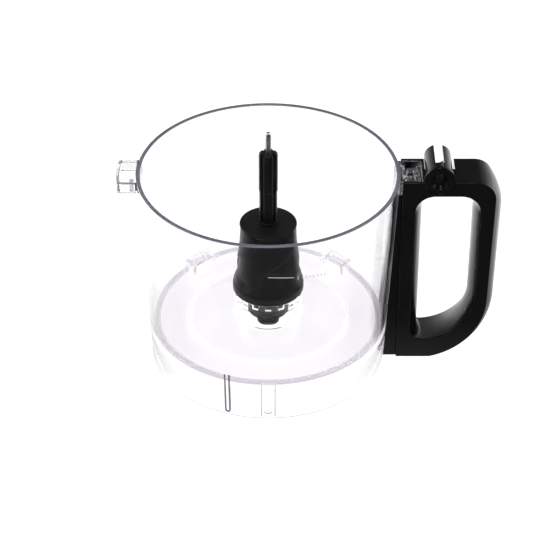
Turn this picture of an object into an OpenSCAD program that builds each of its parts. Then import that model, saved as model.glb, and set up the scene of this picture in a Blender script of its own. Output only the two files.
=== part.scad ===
// Work bowl of a compact food processor: a clear bowl with its handle, its lid interlock
// and the drive stem that carries the slicing discs.
// Origin: on the drive axis, in the plane of the skirt's bottom edge. The handle points to +X.

/* [Bowl] */
// Outer radius of the rim
rim_r = 82.5; // [80:0.5:86]
// Outer radius of the skirt at its bottom edge
base_r = 75.9; // [74:0.1:77]
// Height from the bottom edge of the skirt to the top of the rim
bowl_h = 137; // [130:1:145]
// Thickness of the clear wall
wall = 2.6; // [2.2:0.1:3]
// Height of the bowl's floor beside the wall
floor_z = 26.2; // [25:0.1:28]
// How much the floor rises from the wall to the tower
floor_rise = 5.1; // [3:0.1:6]
// Radius of the straight land that drops over the motor base
land_r = 73.2; // [72:0.1:73.2]
// Height of that land
land_h = 6; // [4:0.5:6]

/* [Tower] */
// Outer radius of the tower at its foot
tower_foot_r = 20.8; // [20:0.1:21]
// Outer radius of the tower at its top
tower_top_r = 15.6; // [15.4:0.1:15.8]
// Height of the tower's top
tower_top_z = 88; // [86:0.5:89]
// Radius of the seat in the tower's top
tower_seat_r = 13.4; // [13.2:0.1:13.6]

/* [Drive stem] */
// Radius of the hub's top disc
hub_top_r = 18.3; // [18:0.1:19]
// Radius of the hub where it meets the collar
hub_low_r = 22.4; // [22:0.1:23]
// Height of the hub's top disc
hub_top_z = 98.6; // [97:0.1:100]
// Height of the shaft's top
shaft_top_z = 151.2; // [145:0.1:155]
// Radius over the shaft's four lobes
shaft_r = 6; // [5.5:0.1:6.5]
// Width of one lobe
lobe_w = 5.9; // [5:0.1:6.5]
// Radius of the steel pin
pin_r = 1.85; // [1.5:0.05:2]
// Radius of the pin's part inside the shaft
pin_root_r = 1.5; // [1:0.05:1.8]
// Height of the pin's tip
pin_tip_z = 165.6; // [160:0.1:170]
// Radius of the bore that takes the motor's shaft
drive_bore_r = 4; // [3.5:0.1:4.2]
// Height of the socket's lower end
socket_z = 22.6; // [21:0.1:24]

/* [Handle] */
// Half of the handle's depth, front to back
handle_y = 14.5; // [13:0.5:15]
// Lowest point of the handle
handle_z = 2.1; // [2:0.1:5]
// Where the handle's front face starts, measured from the drive axis
handle_x = 83.3; // [83:0.1:84]
// Height of the handle's top
handle_top = 137.3; // [136.5:0.1:138]
// Where the front face's outer edge is, at the top
grip_x = 141.5; // [140:0.1:143]
// How far the grip swells outwards at half depth
outer_swell = 5.2; // [1:0.1:5.6]
// How far the bars swell into the finger hole at half depth
inner_swell = 5.4; // [2:0.1:6]
// Thickness of the moulded shells
shell = 2; // [1.6:0.1:2.2]
// Thickness of the front cover
cover_t = 3.4; // [3:0.1:4]

/* [Lid lock] */
// Distance of the barrel's axis from the drive axis
barrel_x = 106.2; // [105:0.1:107]
// Height of the barrel's axis above the rim
barrel_rise = 2.2; // [1:0.1:2.5]
// Outer radius of the barrel
barrel_r = 8.5; // [8:0.1:8.6]
// Radius of the channel for the lid's tab
channel_r = 5; // [4.5:0.1:5.2]
// Width of the slot along the barrel's top
slot_w = 5.4; // [5:0.1:6]
// Travel of the interlock rod
rod_travel = 5; // [3:0.5:5]

/* [Hidden] */

fine = 180;
medium = 72;
small = 32;
eps = 0.01;
run_gap = 0.05;
rest_gap = 0.1;

draft = atan((rim_r - base_r) / bowl_h);
floor_t = wall;
fillet_r = 3.5;
tower_z = floor_z + floor_rise;
tower_wall = 2.2;
seat_z = tower_top_z - 12;

// Rear pockets that clear the lugs of the motor base
pocket_angles = [48.7, 131.3];
pocket_w = 15;
pocket_in = 8;
pocket_h = 9;

// Guide ribs on the outside of the skirt
rib_angle = 250.6;
rib_w = 3.8;
rib_top = 34;
key_w = 9.2;
key_top = 29.5;
rib_low = 3;
rib_proud = 0.9;

lug_r = 94.8;
lug_y = 13.3;
lug_h = 8;
lug_wall = 2;

arm_x = 96;
arm_y = 12.3;
arm_h = 9.8;
arm_wall = 1.5;
boss_r = 5.6;

rod_x = 88.8;
rod_r = 2.2;
button_r = 3;
rod_low_z = 5.6;
button_z = 126;
button_top_z = 134.4;
collar_z = 96;
collar_r = 3.2;
spring_r = 2.75;
spring_wire_r = 0.33;
spring_turns = 7;
spring_low_z = 66;
guide_r = 3.6;
guide_h = 6;
guide_places = [handle_z, 108];
seat_h = 4;

// Teeth round the tower, under the stem's collar
tooth_count = 16;
tooth_r = 21.7;
tooth_low_z = 41.5;
tooth_root_z = 45;
tooth_top_z = 48.4;

barrel_z = bowl_h + barrel_rise;
barrel_rear_y = handle_y;
ring_y = 15;
ring_t = 2.2;
ring_r = 9.7;
notch_x0 = 97.7;
notch_x1 = 116.5;
notch_z = 129.3;
divider_x = 96.2;

clamp_y = 11;
clamp_z0 = 8;
clamp_z1 = 22.4;
clamp_in_r = 68.5;
clamp_out_r = 73.1;
clamp_screw_y = 6.5;
clamp_screw_z = 15;
clamp_screw_r = 1.5;

cover_screw_r = 1.25;
cover_head_r = 2.4;
cover_screw_places = [[122.5, 132.4], [136.9, 104], [136.2, 58], [124.2, 18], [104, 7.9]];
cover_boss_r = 1.9;
head_sink = 3;

// Radius of the wall's outer face at height z
function wall_r(z) = base_r + (rim_r - base_r) * z / bowl_h;

// Points along an arc from angle a0 to a1
function arc(c, r, a0, a1, n) = oval(c, r, r, a0, a1, n);

// The same with its own radius across and up
function oval(c, rx, rz, a0, a1, n) =
    [for (i = [0:n]) let (a = a0 + (a1 - a0) * i / n) [c[0] + rx * cos(a), c[1] + rz * sin(a)]];

// How much of the swell is reached at depth y: none at the faces, all of it at half depth
function swell(y) = 1 - pow(y / handle_y, 2);

// How far the finger hole's lower end drops towards the rear
function hole_drop(y) = 2 * (1 + y / handle_y);

// The handle's outer outline in X and Z, moved inwards by i and swollen outwards by g
function handle_outline(i, g) =
    let (r = 46.1 + g - i, low = asin((handle_z + i - 47) / r), drop = 1.9 * g) concat(
        [[handle_x + i, handle_z + i]],
        arc([94, 47], r, low, 0, 16),
        oval([grip_x - 12, handle_top - 12 - drop], 12 + g - i, 12 + drop - i, 0, 90, 8),
        [[handle_x + i, handle_top - i]]);

// The finger hole's outline at depth y, moved outwards by i; k of the bars' swell is taken from it
function hole_outline(i, k, y) =
    let (d = hole_drop(y), left = inner_swell * k, right = 0.8 * inner_swell * k, top = 2 * k) concat(
        oval([98, 51.5 - d], 35 + i - right, 35 + i, -80, 0, 14),
        oval([120, 114.3], 13 + i - right, 13 + i - top, 0, 90, 6),
        oval([104.3, 114.3], 13 + i - left, 13 + i - top, 90, 180, 6),
        oval([100.3, 25.5 - d], 9 + i - left, 9 + i, 180, 270, 6));

// A solid through rings of points in X and Z; each ring is [y, points]
module loft_y(rings) {
    n = len(rings[0][1]);
    last = len(rings) - 1;
    middle = [for (r = [rings[0], rings[last]]) let (c = [for (p = r[1]) 1] * r[1] / n) [c[0], r[0], c[1]]];
    points = concat([for (r = rings, p = r[1]) [p[0], r[0], p[1]]], middle);
    sides = [for (k = [0:last - 1], j = [0:n - 1]) let (m = (j + 1) % n, low = k * n, high = low + n)
        each [[low + j, low + m, high + m], [low + j, high + m, high + j]]];
    ends = [for (j = [0:n - 1]) let (m = (j + 1) % n)
        each [[n * (last + 1), m, j], [n * (last + 1) + 1, last * n + j, last * n + m]]];
    polyhedron(points = points, faces = concat(sides, ends));
}

// The handle's full shape, with its swollen bars
module handle_solid() {
    depths = [for (k = [-4:4]) sin(k * 22.5) * handle_y];
    difference() {
        loft_y([for (y = depths) [y, handle_outline(0, outer_swell * swell(y))]]);
        loft_y(concat(
            [[-handle_y - 1, hole_outline(0, 0, -handle_y)]],
            [for (y = depths) [y, hole_outline(0, swell(y), y)]],
            [[handle_y + 1, hole_outline(0, 0, handle_y)]]));
    }
}

// Extrudes a shape drawn in X and Z from y0 to y1
module along_y(y0, y1) {
    translate([0, y1, 0]) rotate([90, 0, 0]) linear_extrude(y1 - y0) children();
}

// A round bar along Y from y0 to y1
module bar_y(x, z, r, y0, y1, fn = small) {
    translate([x, y0, z]) rotate([-90, 0, 0]) cylinder(h = y1 - y0, r = r, $fn = fn);
}

// A round bar along X from x0 to x1
module bar_x(y, z, r, x0, x1) {
    translate([x0, y, z]) rotate([0, 90, 0]) cylinder(h = x1 - x0, r = r, $fn = small);
}

// A round bar along Z from z0 to z1
module bar_z(r, z0, z1, fn = medium) {
    translate([0, 0, z0]) cylinder(h = z1 - z0, r = r, $fn = fn);
}

// Wall, floor and tower in one section of revolution
module bowl_section() {
    inner_low = wall_r(floor_z + fillet_r) - wall;
    polygon(concat(
        [[land_r, 0], [base_r, 0]],
        arc([rim_r - wall / 2, bowl_h - wall / 2], wall / 2, 0, 180, 10),
        [[inner_low, floor_z + fillet_r + 1]],
        arc([inner_low - fillet_r, floor_z + fillet_r], fillet_r, 0, -85, 6),
        [[tower_foot_r + 2, tower_z],
         [tower_foot_r, tower_z + 2],
         [tower_foot_r - 1.4, 50],
         [tower_top_r + 1.2, 68],
         [tower_top_r, tower_top_z],
         [tower_seat_r, tower_top_z],
         [tower_seat_r, seat_z],
         [tower_top_r + 1.2 - tower_wall, 68],
         [tower_foot_r - 1.4 - tower_wall, 50],
         [tower_foot_r - tower_wall, tower_z],
         [tower_foot_r - tower_wall, tower_z - floor_t],
         [wall_r(floor_z) - wall - 1, floor_z - floor_t],
         [wall_r(floor_z) - wall, floor_z - floor_t - 1],
         [land_r + 0.4, land_h + 1],
         [land_r, land_h]]));
}

// A raised guide on the outside of the skirt
module skirt_rib(angle, w, top) {
    rotate([0, 0, angle]) translate([wall_r(rib_low) - 1, 0, rib_low]) rotate([0, draft, 0]) {
        translate([0, -w / 2, 0]) cube([1 + rib_proud, w, top - rib_low - w / 2]);
        translate([0, 0, top - rib_low - w / 2]) rotate([0, 90, 0])
            cylinder(h = 1 + rib_proud, r = w / 2, $fn = small);
    }
}

// A rounded block that stands in from the wall, over a base lug
module pocket(angle, grow, z1) {
    depth = pocket_in + grow;
    rotate([0, 0, angle]) translate([wall_r(floor_z) - wall - depth, 0, 0]) {
        translate([0, -pocket_w / 2 - grow, floor_z - floor_t - 2])
            cube([depth + 0.8, pocket_w + 2 * grow, z1 - floor_z + floor_t + 2]);
    }
}

// The clear hollow lug opposite the handle
module lug_outline(inset) {
    intersection() {
        circle(r = lug_r - inset, $fn = fine);
        translate([-lug_r, -lug_y + inset]) square([lug_r - rim_r + 3, 2 * (lug_y - inset)]);
    }
}

// The clear arm that the handle holds, with the guide for the interlock rod
module arm() {
    z0 = bowl_h - arm_h;
    difference() {
        translate([rim_r - 3, -arm_y, z0]) cube([arm_x - rim_r + 3, 2 * arm_y, arm_h]);
        translate([rim_r + arm_wall - 0.6, -arm_y + arm_wall, z0 + arm_wall])
            cube([arm_x - rim_r - 2 * arm_wall + 0.6, 2 * (arm_y - arm_wall), arm_h]);
    }
    intersection() {
        translate([rim_r - 1, -arm_y, z0]) cube([arm_x - rim_r + 1, 2 * arm_y, arm_h - 1.5]);
        for (a = [60, 120, 240, 300])
            translate([rod_x, 0, z0]) rotate([0, 0, a]) translate([boss_r - 1, -0.6, 0]) cube([14, 1.2, arm_h]);
    }
    translate([rod_x, 0, z0]) cylinder(h = arm_h - 0.8, r = boss_r, $fn = medium);
}

// Ring of teeth round the tower, under the stem's collar
module tower_teeth() {
    difference() {
        bar_z(tooth_r, tooth_low_z, tooth_top_z, fine);
        bar_z(tower_foot_r - 2, tooth_low_z - 1, tooth_top_z + 1, fine);
        for (i = [0:tooth_count - 1])
            rotate([0, 0, i * 360 / tooth_count]) translate([tower_foot_r - 0.9, -2, tooth_root_z])
                cube([4, 4, 6]);
    }
}

module bowl_body() {
    color([0.93, 0.92, 0.96, 0.35]) difference() {
        union() {
            tower_teeth();
            difference() {
                union() {
                    rotate_extrude($fn = fine) bowl_section();
                    for (a = pocket_angles) pocket(a, 2, floor_z + pocket_h);
                }
                for (a = pocket_angles) pocket(a, 0, floor_z + pocket_h - 2);
            }
            skirt_rib(rib_angle, rib_w, rib_top);
            skirt_rib(270, key_w, key_top);
            difference() {
                translate([0, 0, bowl_h - lug_h]) linear_extrude(lug_h) lug_outline(0);
                translate([0, 0, bowl_h - lug_h - eps]) linear_extrude(lug_h - lug_wall) difference() {
                    lug_outline(lug_wall);
                    circle(r = rim_r, $fn = fine);
                }
                bar_z(rim_r - wall / 2, 0, bowl_h + 1, fine);
            }
            difference() {
                arm();
                bar_z(rim_r - wall / 2, 0, bowl_h + 1, fine);
            }
        }
        translate([rod_x, 0, bowl_h - arm_h - 1])
            cylinder(h = arm_h + 2, r = button_r + run_gap, $fn = medium);
        for (s = [-1, 1]) bar_x(s * clamp_screw_y, clamp_screw_z, clamp_screw_r + 0.2, 60, 90);
    }
}

// Spaces cut in both shells for the barrel and the bowl's arm
module top_cuts(pocket_front) {
    translate([notch_x0, -ring_y, notch_z]) cube([notch_x1 - notch_x0, 2 * ring_y, 20]);
    bar_y(barrel_x, barrel_z, ring_r + 0.05, -ring_y - 1, -ring_y + ring_t, medium);
    translate([handle_x - 1, -pocket_front, bowl_h - arm_h - 0.2])
        cube([divider_x - handle_x + 1, pocket_front + arm_y + 0.2, 20]);
}

// The hollow inside the housing, in three steps of depth
module handle_cavity() {
    for (part = [[-handle_y + cover_t - 1, -7], [-7, 7], [7, handle_y - shell]])
        along_y(part[0], part[1]) difference() {
            polygon(handle_outline(shell, 0));
            polygon(hole_outline(shell, min(swell(part[0]), swell(part[1])), part[1]));
            translate([handle_x, bowl_h - arm_h - 0.2 - shell]) square([notch_x1 + shell - handle_x, 20]);
        }
}

module handle_housing() {
    color([0.09, 0.09, 0.1]) difference() {
        union() {
            difference() {
                handle_solid();
                handle_cavity();
                translate([60, -50, -10]) cube([120, 50 - handle_y + cover_t, 200]);
            }
            for (p = cover_screw_places) bar_y(p[0], p[1], cover_head_r + 1.1, 3, handle_y - 0.5);
            for (z = guide_places) translate([rod_x - 4.2, -6, z]) cube([8.4, 18.5, guide_h]);
            translate([rod_x - 4.2, -6, spring_low_z - seat_h]) cube([8.4, 18.5, seat_h]);
        }
        top_cuts(arm_y + 0.2);
        for (p = cover_screw_places) {
            bar_y(p[0], p[1], cover_screw_r + 0.15, 0, handle_y + 1);
            bar_y(p[0], p[1], cover_head_r + 0.2, handle_y - head_sink, handle_y + 1);
        }
        translate([rod_x, 0, 0]) {
            for (z = guide_places) bar_z(guide_r, z - 4, z + guide_h + 1);
            bar_z(rod_r + 0.4, spring_low_z - seat_h - 1, spring_low_z + 1);
            bar_z(button_r + 0.4, 115, bowl_h);
        }
    }
}

module handle_cover() {
    back = -handle_y + cover_t;
    color([0.07, 0.07, 0.08]) difference() {
        union() {
            difference() {
                handle_solid();
                translate([60, back, -10]) cube([120, 50, 200]);
            }
            for (p = cover_screw_places) bar_y(p[0], p[1], cover_boss_r, back - 1, 2.8);
        }
        top_cuts(arm_y + 0.2);
        for (p = cover_screw_places) bar_y(p[0], p[1], cover_screw_r, -8, 4);
    }
}

// The channel that backs the handle against the bowl's wall
module handle_flange() {
    top = bowl_h - arm_h - 0.2;
    depth = handle_y - 1.6;
    color([0.1, 0.1, 0.11]) difference() {
        union() {
            difference() {
                translate([60, -depth, handle_z]) cube([handle_x - 60, 2 * depth, top - handle_z]);
                translate([60, -depth + shell, handle_z + shell])
                    cube([handle_x - 60 - shell, 2 * (depth - shell), top - handle_z - 2 * shell]);
            }
            for (s = [-1, 1]) bar_x(s * clamp_screw_y, clamp_screw_z, 3, 70, handle_x - 1);
        }
        rotate_extrude($fn = fine)
            polygon([[0, -1], [wall_r(-1) + rest_gap, -1], [wall_r(bowl_h) + rest_gap, bowl_h], [0, bowl_h]]);
        for (s = [-1, 1]) bar_x(s * clamp_screw_y, clamp_screw_z, clamp_screw_r, 60, handle_x - 1.4);
    }
}

// Slotted tube that the lid's tab slides into as the lid is turned
module lid_lock_barrel() {
    y0 = -ring_y + ring_t;
    color([0.08, 0.08, 0.09]) difference() {
        union() {
            bar_y(barrel_x, barrel_z, barrel_r, y0, barrel_rear_y, medium);
            translate([barrel_x - 5.5, y0, notch_z]) cube([11, barrel_rear_y - y0, 3]);
        }
        bar_y(barrel_x, barrel_z, channel_r, y0 - 1, barrel_rear_y + 1, medium);
        translate([barrel_x - slot_w / 2, y0 - 1, barrel_z]) cube([slot_w, 2 * ring_y, 20]);
    }
}

// Ring that closes the barrel's front end and stops the lid's tab
module barrel_end_ring() {
    color([0.07, 0.07, 0.08]) difference() {
        bar_y(barrel_x, barrel_z, ring_r, -ring_y, -ring_y + ring_t, medium);
        bar_y(barrel_x, barrel_z, channel_r - 0.2, -ring_y - 1, -ring_y + 0.8, medium);
        bar_y(barrel_x, barrel_z, channel_r - 1.4, -ring_y - 1, -ring_y + ring_t + 1, medium);
        translate([barrel_x - 20, -ring_y - 1, 110]) cube([40, 4, notch_z - 110]);
    }
}

// Curved plate inside the skirt that the handle is screwed to
module lower_clamp() {
    color([0.07, 0.07, 0.08]) difference() {
        intersection() {
            bar_z(clamp_out_r, clamp_z0, clamp_z1, fine);
            translate([0, -clamp_y, 0]) cube([100, 2 * clamp_y, 50]);
        }
        bar_z(clamp_in_r, 0, 50, fine);
        for (s = [-1, 1]) {
            bar_x(s * clamp_screw_y, clamp_screw_z, clamp_screw_r + 0.2, 60, 90);
            bar_x(s * clamp_screw_y, clamp_screw_z, 3, 60, clamp_in_r + 1);
        }
    }
}

// Pan-head screw along +X, its head's top at the origin
module screw(r, head_r, head_h, length) {
    rotate([0, 90, 0]) difference() {
        union() {
            cylinder(h = head_h, r1 = head_r - 0.5, r2 = head_r, $fn = small);
            cylinder(h = length, r = r, $fn = small);
        }
        for (a = [0, 90]) rotate([0, 0, a]) translate([-head_r * 0.6, -0.35, -1]) cube([head_r * 1.2, 0.7, 1.8]);
    }
}

module clamp_screws() {
    color("silver") for (s = [-1, 1])
        translate([clamp_in_r - 1, s * clamp_screw_y, clamp_screw_z]) screw(clamp_screw_r, 2.8, 2, 12.5);
}

module cover_screws() {
    color("silver") for (p = cover_screw_places)
        translate([p[0], handle_y - 0.9, p[1]]) rotate([0, 0, -90])
            screw(cover_screw_r, cover_head_r, 2.1, 19);
}

// Two plain bushes that guide the interlock rod
module rod_guides() {
    color([0.85, 0.85, 0.82]) for (z = guide_places) translate([rod_x, 0, z]) difference() {
        cylinder(h = guide_h, r = guide_r, $fn = medium);
        translate([0, 0, -1]) cylinder(h = guide_h + 2, r = rod_r + run_gap, $fn = medium);
    }
}

module interlock_rod() {
    color([0.1, 0.1, 0.11]) translate([rod_x, 0, 0]) bar_z(rod_r, rod_low_z, button_z, medium);
}

// Cap on the rod's top end that the lid presses down
module rod_button() {
    color([0.1, 0.1, 0.11]) translate([rod_x, 0, 0]) {
        bar_z(button_r, button_z, button_top_z - 1, medium);
        translate([0, 0, button_top_z - 1]) cylinder(h = 1, r1 = button_r, r2 = button_r - 1, $fn = medium);
    }
}

// Collar that the spring pushes up
module spring_collar() {
    color("silver") translate([rod_x, 0, collar_z]) difference() {
        cylinder(h = 1.6, r = collar_r, $fn = medium);
        translate([0, 0, -1]) cylinder(h = 4, r = rod_r, $fn = medium);
    }
}

// Round wire wound into a coil along +Z, from z = 0 to z = height
module coil(r, wire_r, height, turns) {
    sides = 6;
    steps = 16;
    count = turns * steps;
    points = [for (i = [0:count], j = [0:sides - 1])
        let (turn = i * 360 / steps, a = j * 360 / sides, ring = r + wire_r * cos(a))
        [ring * cos(turn), ring * sin(turn), wire_r + (height - 2 * wire_r) * i / count + wire_r * sin(a)]];
    walls = [for (i = [0:count - 1], j = [0:sides - 1])
        let (k = (j + 1) % sides, low = i * sides, high = low + sides)
        [low + j, high + j, high + k, low + k]];
    ends = [[for (j = [0:sides - 1]) j], [for (j = [sides - 1:-1:0]) count * sides + j]];
    polyhedron(points = points, faces = concat(walls, ends));
}

// Return spring between the seat in the handle and the collar
module interlock_spring() {
    color("silver") translate([rod_x, 0, spring_low_z + eps])
        coil(spring_r, spring_wire_r, collar_z - spring_low_z - 2 * eps, spring_turns);
}

// Plain bearing that the stem turns in; it drops into the tower's top
module bearing_sleeve() {
    color([0.9, 0.9, 0.88]) difference() {
        union() {
            bar_z(tower_seat_r - 0.08, seat_z + 0.5, tower_top_z + rest_gap, medium);
            bar_z(tower_top_r - 0.4, tower_top_z + rest_gap, tower_top_z + 1.5, medium);
        }
        bar_z(10 + run_gap, seat_z - 1, tower_top_z + 3, medium);
    }
}

module thrust_washer() {
    color("silver") difference() {
        bar_z(14.4, tower_top_z + 1.5, tower_top_z + 2.1, medium);
        bar_z(10.4, tower_top_z, tower_top_z + 3, medium);
    }
}

// Outer shell of the stem's hub, closed by its top disc
module stem_hub() {
    outer = [[0, hub_top_z], [hub_top_r - 0.8, hub_top_z], [hub_top_r, hub_top_z - 0.8], [18.7, 90], [19.2, 79],
             [20, 69], [20.9, 62], [hub_low_r, 56]];
    inner = [[20.2, 56], [18.7, 62], [17.8, 69], [17.1, 79], [16.7, 90], [16.2, tower_top_z + 2.3],
             [16.2, hub_top_z - 3], [0, hub_top_z - 3]];
    color([0.08, 0.08, 0.09]) difference() {
        rotate_extrude($fn = fine) polygon(concat(outer, inner));
        bar_z(shaft_r - 1.2, 80, 120, medium);
    }
}

module hub_collar() {
    color([0.09, 0.09, 0.1]) rotate_extrude($fn = fine)
        polygon([[20.4, 49.2], [22.5, 49.2], [22.9, 50.2], [22.8, 54], [hub_low_r, 56], [20.4, 56]]);
}

// Four-lobed shaft that the discs slide onto
module stem_shaft() {
    color([0.08, 0.08, 0.09]) difference() {
        union() {
            for (a = [0, 90, 180, 270]) rotate([0, 0, a]) intersection() {
                translate([0, -lobe_w / 2, hub_top_z]) cube([shaft_r, lobe_w, shaft_top_z - hub_top_z]);
                bar_z(shaft_r, hub_top_z, shaft_top_z, medium);
            }
            bar_z(shaft_r + 0.3, hub_top_z, hub_top_z + 2, medium);
            bar_z(shaft_r - 1.2, hub_top_z - 3, hub_top_z + 2, medium);
        }
        bar_z(pin_root_r, shaft_top_z - 16, shaft_top_z + 1, small);
    }
}

module stem_pin() {
    color("silver") {
        bar_z(pin_root_r, shaft_top_z - 16, shaft_top_z, small);
        bar_z(pin_r, shaft_top_z, pin_tip_z - pin_r, small);
        translate([0, 0, pin_tip_z - pin_r]) intersection() {
            sphere(r = pin_r, $fn = small);
            bar_z(pin_r, 0, pin_r + 1, small);
        }
    }
}

// Socket inside the tower that the motor's shaft drives
module drive_socket() {
    color([0.06, 0.06, 0.07]) difference() {
        rotate_extrude($fn = medium) polygon([
            [0, socket_z], [7.3, socket_z], [7.3, 27.4], [9.4, 28.8], [12.6, 32], [12.6, seat_z - 1],
            [10, seat_z], [10, tower_top_z + 2.3], [16.2, tower_top_z + 2.3],
            [16.2, hub_top_z - 3], [0, hub_top_z - 3]]);
        bar_z(drive_bore_r + 1.5, socket_z - 1, 62, medium);
    }
}

// Metal lining of the socket
module drive_insert() {
    color("silver") difference() {
        bar_z(drive_bore_r + 1.5, socket_z + 0.4, 62, medium);
        bar_z(drive_bore_r, socket_z - 1, 60, medium);
    }
}

bowl_body();
handle_housing();
handle_cover();
handle_flange();
lid_lock_barrel();
barrel_end_ring();
lower_clamp();
clamp_screws();
cover_screws();
rod_guides();
interlock_spring();
interlock_rod();
rod_button();
spring_collar();
bearing_sleeve();
thrust_washer();
stem_hub();
hub_collar();
stem_shaft();
stem_pin();
drive_socket();
drive_insert();
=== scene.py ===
"""Looks for the food processor's work bowl: clear bowl, black handle, lid-lock barrel and drive stem."""
import math

import bmesh
import bpy
from mathutils import Matrix, Vector


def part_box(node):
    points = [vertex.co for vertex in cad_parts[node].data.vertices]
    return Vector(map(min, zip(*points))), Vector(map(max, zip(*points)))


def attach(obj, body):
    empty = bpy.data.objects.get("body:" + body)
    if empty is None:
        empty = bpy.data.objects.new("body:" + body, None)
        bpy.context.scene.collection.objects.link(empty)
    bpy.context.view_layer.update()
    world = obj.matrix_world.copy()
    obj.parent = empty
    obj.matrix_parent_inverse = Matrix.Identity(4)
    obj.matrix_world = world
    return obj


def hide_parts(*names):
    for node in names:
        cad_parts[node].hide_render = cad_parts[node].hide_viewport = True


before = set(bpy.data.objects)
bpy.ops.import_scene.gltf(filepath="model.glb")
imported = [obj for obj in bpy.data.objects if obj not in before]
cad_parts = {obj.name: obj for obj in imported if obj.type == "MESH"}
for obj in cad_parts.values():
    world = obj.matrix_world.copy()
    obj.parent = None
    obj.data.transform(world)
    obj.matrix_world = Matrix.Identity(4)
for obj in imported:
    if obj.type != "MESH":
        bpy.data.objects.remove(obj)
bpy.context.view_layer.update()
MM = 0.001
scene = bpy.context.scene


# ---------------------------------------------------------------- numbers, in mm, taken from the CAD nodes
def box_mm(name):
    lo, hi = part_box(name)
    return [v / MM for v in lo], [v / MM for v in hi]


H = 137.0
RIM_R, BASE_R, LAND_R, LAND_H, WALL = 82.5, 75.9, 73.2, 6.0, 2.6
FLOOR_Z, RISE, FILLET = 26.2, 5.1, 3.5
TOWER_Z = FLOOR_Z + RISE
COVER_LO, COVER_HI = box_mm("handle_cover")
HANDLE_X, HANDLE_Z = 83.3, COVER_LO[2]
HANDLE_Y, HANDLE_TOP = -COVER_LO[1], COVER_HI[2]
SPLIT_Y = -HANDLE_Y + 3.4
RING_LO, RING_HI = box_mm("barrel_end_ring")
BARREL_LO, BARREL_HI = box_mm("lid_lock_barrel")
BARREL_X = (RING_LO[0] + RING_HI[0]) / 2
BARREL_Z, BARREL_R = RING_HI[2] - 9.7, 8.5
ROD_X = 88.8                    # the interlock rod's axis
ROD_LOW = box_mm("interlock_rod")[0][2]
GUIDES = ((250.6, 3.8, 34.0), (270.0, 9.2, 29.5))       # angle, width and top of the guides on the skirt
POCKET_ANGLES = (48.7, 131.3)
COVER_SCREWS = ((122.5, 132.4), (136.9, 104), (136.2, 58), (124.2, 18), (104, 7.9))
PIN_TIP = box_mm("stem_pin")[1][2]


def wall_r(z):
    return BASE_R + (RIM_R - BASE_R) * z / H


def lerp(a, b, t):
    return a + (b - a) * t


def smooth(t):
    t = min(1.0, max(0.0, t))
    return t * t * (3 - 2 * t)


def arc(cx, cy, r, a0, a1, n):
    return [(cx + r * math.cos(math.radians(lerp(a0, a1, i / n))),
             cy + r * math.sin(math.radians(lerp(a0, a1, i / n)))) for i in range(n + 1)]


# ---------------------------------------------------------------- mesh helpers
def from_rings(name, rings, close_u=True, caps=True, closed_v=False):
    """A mesh through rings of points in mm."""
    n = len(rings[0])
    verts = [Vector(p) * MM for r in rings for p in r]
    faces = []
    last = len(rings) if closed_v else len(rings) - 1
    for k in range(last):
        a, b = k * n, ((k + 1) % len(rings)) * n
        for j in range(n if close_u else n - 1):
            m = (j + 1) % n
            faces.append((a + j, a + m, b + m, b + j))
    if caps and not closed_v:
        faces.append(tuple(range(n - 1, -1, -1)))
        faces.append(tuple(range((len(rings) - 1) * n, len(rings) * n)))
    mesh = bpy.data.meshes.new(name)
    mesh.from_pydata(verts, [], faces)
    return finish_mesh(name, mesh)


def finish_mesh(name, mesh):
    bm = bmesh.new()
    bm.from_mesh(mesh)
    bmesh.ops.remove_doubles(bm, verts=bm.verts, dist=1e-7)
    bmesh.ops.dissolve_degenerate(bm, dist=1e-8, edges=bm.edges)
    bmesh.ops.recalc_face_normals(bm, faces=bm.faces)
    bm.to_mesh(mesh)
    bm.free()
    obj = bpy.data.objects.new(name, mesh)
    scene.collection.objects.link(obj)
    return obj


def lathe(name, profile, n=96, axis="z", centre=(0, 0, 0)):
    """Turns a closed outline of (r, height) points round an axis."""
    rings = []
    for i in range(n):
        a = 2 * math.pi * i / n
        ring = []
        for r, h in profile:
            if axis == "z":
                p = (r * math.cos(a), r * math.sin(a), h)
            elif axis == "y":
                p = (r * math.cos(a), h, r * math.sin(a))
            else:
                p = (h, r * math.cos(a), r * math.sin(a))
            ring.append((p[0] + centre[0], p[1] + centre[1], p[2] + centre[2]))
        rings.append(ring)
    return from_rings(name, rings, caps=False, closed_v=True)


def prism(name, outline, lo, hi, axis="y"):
    """Extrudes an outline; along y the outline is (x, z), along z it is (x, y)."""
    def at(p, h):
        return (p[0], h, p[1]) if axis == "y" else (p[0], p[1], h)
    return from_rings(name, [[at(p, lo) for p in outline], [at(p, hi) for p in outline]])


def block(name, lo, hi):
    outline = [(lo[0], lo[1]), (hi[0], lo[1]), (hi[0], hi[1]), (lo[0], hi[1])]
    return prism(name, outline, lo[2], hi[2], axis="z")


def bake(obj):
    dg = bpy.context.evaluated_depsgraph_get()
    dg.update()
    mesh = bpy.data.meshes.new_from_object(obj.evaluated_get(dg))
    obj.modifiers.clear()
    obj.data = mesh
    return obj


def boolean(obj, other, op="DIFFERENCE", solver="MANIFOLD"):
    m = obj.modifiers.new("boolean", "BOOLEAN")
    m.operation, m.object, m.solver = op, other, solver
    before = len(obj.data.polygons)
    bake(obj)
    if len(obj.data.polygons) == 0 and before:
        raise SystemExit("boolean left nothing of " + obj.name)
    bpy.data.objects.remove(other)
    return obj


def bevel(obj, width, segments=2, angle=35):
    m = obj.modifiers.new("bevel", "BEVEL")
    m.width, m.segments, m.limit_method = width * MM, segments, "ANGLE"
    m.angle_limit = math.radians(angle)
    m.use_clamp_overlap = True
    m.miter_outer = "MITER_ARC"
    return bake(obj)


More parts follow.
